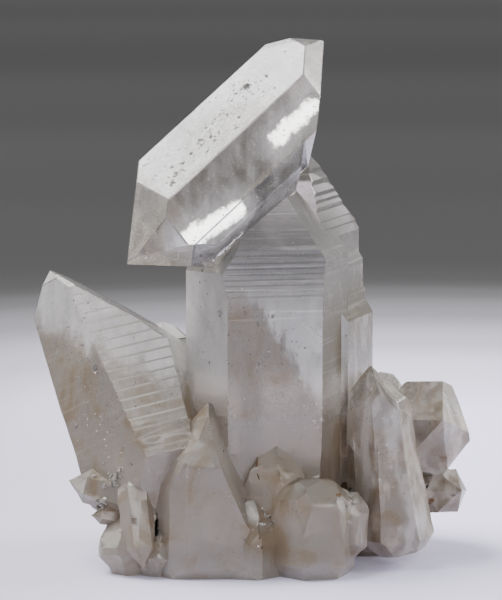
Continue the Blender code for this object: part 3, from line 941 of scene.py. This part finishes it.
class QuartzLook(bpy.types.PropertyGroup):
    """The stone's colours and clarity."""

    clear_colour: FloatVectorProperty(
        name="Clear colour", description="Colour of the clear stone", subtype="COLOR", size=4,
        default=(0.95, 0.925, 0.875, 1.0), min=0.0, max=1.0,
    )
    milk_colour: FloatVectorProperty(
        name="Milk colour", description="Colour of the clouded stone", subtype="COLOR", size=4,
        default=(0.375, 0.32, 0.262, 1.0), min=0.0, max=1.0,
    )
    warm_colour: FloatVectorProperty(
        name="Warm colour", description="Beige of the clouds with a trace of iron", subtype="COLOR", size=4,
        default=(0.355, 0.27, 0.178, 1.0), min=0.0, max=1.0,
    )
    haze_colour: FloatVectorProperty(
        name="Haze colour", description="Grey of the haze in the upright crystal's tip", subtype="COLOR",
        size=4, default=(0.31, 0.31, 0.315, 1.0), min=0.0, max=1.0,
    )
    # Partly painted shade on the side turned from the light
    brown_tone_and_shade_colour: FloatVectorProperty(
        name="Brown colour", description="Smoky brown behind the upright crystal's right side", subtype="COLOR",
        size=4, default=(0.09, 0.068, 0.03, 1.0), min=0.0, max=1.0,
    )
    # Its bloom on the clear faces is partly frost and partly painted light
    frost_colour: FloatVectorProperty(
        name="Frost colour", description="Colour of the bright bloom on the clear faces", subtype="COLOR",
        size=4, default=(0.91, 0.895, 0.87, 1.0), min=0.0, max=1.0,
    )
    speck_colour: FloatVectorProperty(
        name="Speck colour", description="Colour of the small etch marks", subtype="COLOR", size=4,
        default=(0.12, 0.11, 0.1, 1.0), min=0.0, max=1.0,
    )
    body_colour: FloatVectorProperty(
        name="Body colour", description="What the thickness of the stone tints light towards", subtype="COLOR",
        size=4, default=(0.62, 0.548, 0.435, 1.0), min=0.0, max=1.0,
    )
    body_density: FloatProperty(
        name="Body density", description="How strongly the thickness of the stone tints light", default=58.0,
        min=0.0, soft_max=200.0,
    )
    milkiness: FloatProperty(
        name="Milkiness", description="How much of the clouded stone scatters light", default=0.54, min=0.0,
        max=1.0, subtype="FACTOR",
    )


class QuartzShape(bpy.types.PropertyGroup):
    """How worn the stone's edges are."""

    edge: FloatProperty(
        name="Edge", description="Width of the worn edges", default=0.13 * MM, min=0.0, subtype="DISTANCE",
        unit="LENGTH",
    )


# Pieces


def bounds_centre():
    """The middle of the CAD box."""
    low, high = (Vector(corner) for corner in CAD_BOX)
    return (low + high) / 2.0


class QUARTZ_OT_cluster(bpy.types.Operator):
    """Makes the visible stone from the solid, with worn edges and a worn base"""

    bl_idname = "quartz.cluster"
    bl_label = "Cluster"

    def execute(self, context):
        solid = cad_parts[NODE]
        stone = solid.copy()
        stone.data = solid.data.copy()
        stone.name = STONE
        stone.parent = None
        for key in list(stone.keys()):
            del stone[key]
        context.scene.collection.objects.link(stone)
        stone.data.materials.clear()
        make_active(stone)
        bpy.ops.object.mode_set(mode="EDIT")
        bpy.ops.mesh.select_all(action="SELECT")
        bpy.ops.mesh.remove_doubles(threshold=MERGE * MM)
        bpy.ops.mesh.dissolve_limited(angle_limit=math.radians(FLAT_ANGLE))
        bpy.ops.object.mode_set(mode="OBJECT")
        round_edges(stone, WORN_TOP, context.scene.quartz_shape.edge / MM)
        cut_finely(stone, WORN_TOP, WORN_CELL)
        wear_down(stone, WORN_TOP, WORN_DEPTH)
        write_grain(stone.data)
        make_active(stone)
        bpy.ops.object.shade_smooth_by_angle(angle=math.radians(SMOOTH_ANGLE))
        for face in stone.data.polygons:
            face.use_smooth = face.use_smooth and face.center.z < WORN_TOP * MM
        stone.data.materials.append(quartz_material(context.scene.quartz_look))
        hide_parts(NODE)
        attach(stone, BODY)
        return {"FINISHED"}


class QUARTZ_OT_marks(bpy.types.Operator):
    """Lays the iron stains and the larger etch pits on the stone"""

    bl_idname = "quartz.marks"
    bl_label = "Stains and pits"

    def execute(self, context):
        surface = stone_tree()
        iron = plain_stone("iron_stain", IRON_BROWN, IRON_DARK, IRON_ROUGH)
        etched = plain_stone("etch_pit", PIT_DARK, PIT_LIGHT, PIT_ROUGH)
        chance = random.Random(MARK_SEED)
        for name, marks, material in (("stains", STAINS, iron), ("pits", PITS, etched)):
            pieces = []
            for across, up, length, width, turn in marks:
                place, normal = seen_point(surface, across, up)
                if place is None:
                    raise RuntimeError(f"no stone at {across}, {up}")
                select_none()
                bpy.ops.mesh.primitive_uv_sphere_add(segments=14, ring_count=7, radius=MM)
                mark = bpy.context.active_object
                for vertex in mark.data.vertices:
                    wobble = noise.noise(vertex.co / MM * MARK_WAVES + Vector((across, up, 0.0)))
                    vertex.co *= 1.0 + MARK_WOBBLE * wobble
                    vertex.co.z *= MARK_THICK
                facing = (normal + MARK_FACING * CAMERA_AWAY).normalized()
                size = (MARK_GROW * length, MARK_GROW * width, MARK_HEIGHT)
                lay_on(mark, place, facing, math.radians(turn), size)
                mark.rotation_euler.rotate_axis("Z", MARK_SPIN * chance.random())
                pieces.append(mark)
            finish_piece(join(pieces, name), material)
        return {"FINISHED"}


class QUARTZ_OT_specks(bpy.types.Operator):
    """Scatters small dark etch marks over the faces"""

    bl_idname = "quartz.specks"
    bl_label = "Specks"

    def execute(self, context):
        surface = stone_tree()
        chance = random.Random(SPECK_SEED)
        select_none()
        bpy.ops.mesh.primitive_ico_sphere_add(subdivisions=1, radius=MM)
        model = bpy.context.active_object
        pieces = []
        for place, normal, grow in row_points(surface, chance, SPECK_ROWS, SPECK_SPREAD):
            speck = copy_of(model, f"speck_{len(pieces)}")
            size = grow * (SPECK_LEAST + SPECK_MORE * chance.random() ** 3)
            turn = chance.uniform(0.0, math.pi)
            length, width = size * chance.uniform(*SPECK_LONG), size * chance.uniform(*SPECK_WIDE)
            lay_on(speck, place, normal, turn, (length, width, SPECK_HEIGHT))
            pieces.append(speck)
        bpy.data.objects.remove(model)
        finish_piece(join(pieces, "specks"), plain_stone("speck", SPECK_DARK, SPECK_LIGHT, SPECK_ROUGH))
        return {"FINISHED"}


class QUARTZ_OT_glints(bpy.types.Operator):
    """Scatters painted glints, tiny white flakes, over the patches that sparkle"""

    bl_idname = "quartz.glints"
    bl_label = "Glints"

    def execute(self, context):
        surface = stone_tree()
        chance = random.Random(GLINT_SEED)
        select_none()
        bpy.ops.mesh.primitive_cylinder_add(vertices=5, radius=MM, depth=GLINT_DEPTH * MM)
        model = bpy.context.active_object
        pieces = []
        for place, normal, grow in row_points(surface, chance, GLINT_ROWS, GLINT_SPREAD):
            painted_glint = copy_of(model, f"glint_{len(pieces)}")
            size = grow * chance.uniform(*GLINT_SIZES)
            facing = (normal + GLINT_FACING * CAMERA_AWAY + random_lean(chance, GLINT_LEAN)).normalized()
            turn = chance.uniform(0.0, math.pi)
            lay_on(painted_glint, place, facing, turn, (size, size * chance.uniform(*GLINT_WIDE), size * GLINT_FLAT))
            pieces.append(painted_glint)
        bpy.data.objects.remove(model)
        finish_piece(join(pieces, "glints"), plain_stone("painted_glint", PAINTED_GLINT_WHITE, PAINTED_GLINT_GREY, GLINT_ROUGH))
        return {"FINISHED"}


class QUARTZ_OT_druse(bpy.types.Operator):
    """Grows small pointed crystals in the hollows between the large ones"""

    bl_idname = "quartz.druse"
    bl_label = "Druse"

    def execute(self, context):
        surface = stone_tree()
        chance = random.Random(DRUSE_SEED)
        select_none()
        bpy.ops.mesh.primitive_cylinder_add(vertices=6, radius=MM, depth=2.0 * MM)
        model = bpy.context.active_object
        bpy.ops.object.mode_set(mode="EDIT")
        bpy.ops.mesh.select_mode(type="FACE")
        bpy.ops.mesh.select_all(action="DESELECT")
        shape = bmesh.from_edit_mesh(model.data)
        for face in shape.faces:
            face.select_set(face.normal.z > TOP_FACE)
        bmesh.update_edit_mesh(model.data)
        bpy.ops.mesh.extrude_region_move(TRANSFORM_OT_translate={"value": (0.0, 0.0, DRUSE_TIP * MM)})
        bpy.ops.transform.resize(value=(DRUSE_BLUNT, DRUSE_BLUNT, 1.0))
        bpy.ops.object.mode_set(mode="OBJECT")
        pieces = []
        for across, up, wide, high, count in DRUSE_PATCHES:
            for _ in range(count):
                aside = chance.gauss(across, wide * DRUSE_SPREAD)
                above = chance.gauss(up, high * DRUSE_SPREAD)
                place, normal = seen_point(surface, aside, above)
                if place is None:
                    continue
                point = copy_of(model, f"druse_{len(pieces)}")
                size = chance.uniform(*DRUSE_SIZES)
                facing = (normal + random_lean(chance, DRUSE_LEAN)).normalized()
                turn = chance.uniform(0.0, math.pi)
                lay_on(point, place, facing, turn, (size, size * DRUSE_FLAT, size), sink=DRUSE_SINK * MM)
                pieces.append(point)
        bpy.data.objects.remove(model)
        material = plain_stone("druse_quartz", DRUSE_DARK, DRUSE_LIGHT, DRUSE_ROUGH, clear=DRUSE_CLEAR)
        finish_piece(join(pieces, "druse"), material)
        return {"FINISHED"}


# Stage


# The floor, in metres. A pool of light is painted on its paper round this centre, and painted shade darkens it
# by these stops, each (distance from the centre, grey), with painted light lifting it again far away. Towards
# the camera only the near share of the distance counts.
FLOOR_RADIUS = 6.0
LIGHT_POOL_CENTRE = (0.03, 0.12)
LIGHT_POOL_NEAR = 0.2
PAINTED_LIGHT_STOPS = (
    (0.0, 0.98), (0.06, 0.72), (0.10, 0.44), (0.149, 0.205), (0.186, 0.098), (0.206, 0.056), (0.25, 0.047),
    (0.42, 0.052), (0.7, 0.074), (1.1, 0.12), (1.8, 0.205), (3.0, 0.32),
)
FLOOR_REACH = 3.0
# The painted pool of light's faint lavender: its share of blue, how far it reaches, and the share of green
LIGHT_POOL_BLUE = 0.28
BLUE_REACH = 0.2
FLOOR_GREEN = 0.975
# The paper's tooth: waves per metre, and how it darkens (noise from, to, dark from, to), and the paper's
# roughness and shine
PAPER_WAVES = 900.0
PAPER_TOOTH = (0.3, 0.7, 0.0, 0.02)
PAPER_ROUGH = 0.9
PAPER_SHINE = 0.1
# Name, place and size in metres, and power in watts
LIGHTS = (
    ("top_light", (-0.4, 0.16, 0.9), (0.6, 0.54), 17.0),
    ("left_light", (-0.8, 0.12, 0.35), (0.4, 0.5), 2.4),
    ("right_light", (0.75, 0.3, 0.4), (0.6, 0.6), 8.5),
    ("front_light", (0.35, -0.95, 0.5), (0.5, 0.3), 3.6),
)
WORLD_GREY = (0.5, 0.5, 0.5, 1.0)
WORLD_STRENGTH = 0.72


def floor_material():
    """Paper with a painted pool of light round the stone, fading through painted shade to dark grey, with
    painted light lifting it again far away.
    """
    tree = Tree("backdrop_paper_painted_light")
    spot = tree.add("ShaderNodeTexCoord", out=3)
    x, y, _ = tree.split(spot)
    aside = tree.math("SUBTRACT", x, LIGHT_POOL_CENTRE[0])
    back = tree.math("SUBTRACT", y, LIGHT_POOL_CENTRE[1])
    back = tree.math("MAXIMUM", back, tree.times(back, -LIGHT_POOL_NEAR))
    away = tree.math("SQRT", tree.math("MULTIPLY_ADD", aside, aside, tree.times(back, back)))
    node = tree.nodes.new("ShaderNodeValToRGB")
    node.color_ramp.interpolation = "EASE"
    stops = node.color_ramp.elements
    for k, (distance, grey) in enumerate(PAINTED_LIGHT_STOPS):
        stop = stops[k] if k < len(stops) else stops.new(distance / FLOOR_REACH)
        stop.position = distance / FLOOR_REACH
        blue = 1.0 + LIGHT_POOL_BLUE * max(0.0, 1.0 - distance / BLUE_REACH)
        stop.color = (grey, grey * FLOOR_GREEN, grey * blue, 1.0)
    tree.links.new(tree.math("DIVIDE", away, FLOOR_REACH), node.inputs[0])
    paper = tree.noise(tree.place(spot, (PAPER_WAVES,) * 3), 1.0)
    colour = tree.mix(tree.ramp(paper, *PAPER_TOOTH), node.outputs[0], (0.0, 0.0, 0.0, 1.0))
    tree.feed(tree.shader.inputs["Base Color"], colour)
    tree.shader.inputs["Roughness"].default_value = PAPER_ROUGH
    tree.shader.inputs["Specular IOR Level"].default_value = PAPER_SHINE
    return tree.material


def add_light(name, place, aim, size, power):
    """A rectangular soft light at a place in metres, aimed at a point."""
    data = bpy.data.lights.new(name, "AREA")
    data.shape = "RECTANGLE"
    data.size, data.size_y = size
    data.energy = power
    light = bpy.data.objects.new(name, data)
    bpy.context.scene.collection.objects.link(light)
    light.location = place
    light.rotation_euler = (aim - Vector(place)).to_track_quat("-Z", "Y").to_euler()


class QUARTZ_OT_stage(bpy.types.Operator):
    """Sets the floor, the lights and the camera"""

    bl_idname = "quartz.stage"
    bl_label = "Stage"

    def execute(self, context):
        scene = context.scene
        select_none()
        bpy.ops.mesh.primitive_circle_add(vertices=96, radius=FLOOR_RADIUS, fill_type="NGON")
        floor = context.active_object
        floor.name = "floor"
        floor.data.materials.append(floor_material())
        floor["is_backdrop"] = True

        aim = bounds_centre()
        for name, place, size, power in LIGHTS:
            add_light(name, place, aim, size, power)

        world = bpy.data.worlds.new("studio")
        world.use_nodes = True
        world.node_tree.nodes["Background"].inputs["Color"].default_value = WORLD_GREY
        world.node_tree.nodes["Background"].inputs["Strength"].default_value = WORLD_STRENGTH
        scene.world = world

        data = bpy.data.cameras.new("camera")
        data.lens = CAMERA_LENS
        data.clip_start = 0.01
        data.clip_end = 50.0
        camera = bpy.data.objects.new("camera", data)
        scene.collection.objects.link(camera)
        camera.location = CAMERA_PLACE
        camera.rotation_euler = (math.radians(90.0 - CAMERA_CLIMB), 0.0, 0.0)
        scene.camera = camera
        return {"FINISHED"}


class QUARTZ_PT_panel(bpy.types.Panel):
    """Lists the pieces and their settings"""

    bl_idname = "QUARTZ_PT_panel"
    bl_label = "Quartz cluster"
    bl_space_type = "VIEW_3D"
    bl_region_type = "UI"
    bl_category = "Quartz"

    def draw(self, context):
        layout = self.layout
        for group in (context.scene.quartz_look, context.scene.quartz_shape):
            for key in group.__annotations__:
                layout.prop(group, key)
        for operator in OPERATORS:
            layout.operator(operator.bl_idname)


GROUPS = (QuartzLook, QuartzShape)
OPERATORS = (
    QUARTZ_OT_cluster, QUARTZ_OT_marks, QUARTZ_OT_specks, QUARTZ_OT_glints, QUARTZ_OT_druse, QUARTZ_OT_stage,
)


def register():
    """Registers the settings, the operators and the panel."""
    for cls in (*GROUPS, *OPERATORS, QUARTZ_PT_panel):
        bpy.utils.register_class(cls)
    bpy.types.Scene.quartz_look = PointerProperty(type=QuartzLook)
    bpy.types.Scene.quartz_shape = PointerProperty(type=QuartzShape)


def unregister():
    """Takes them away again."""
    del bpy.types.Scene.quartz_shape
    del bpy.types.Scene.quartz_look
    for cls in reversed((*GROUPS, *OPERATORS, QUARTZ_PT_panel)):
        bpy.utils.unregister_class(cls)


def main():
    """Runs every operator in order."""
    register()
    bpy.ops.quartz.cluster()
    bpy.ops.quartz.marks()
    bpy.ops.quartz.specks()
    bpy.ops.quartz.glints()
    bpy.ops.quartz.druse()
    bpy.ops.quartz.stage()
    boxes = {"cad": CAD_BOX, "visual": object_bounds()}
    {key: [list(corner) for corner in box] for key, box in boxes.items()}


if __name__ == "__main__":
    main()
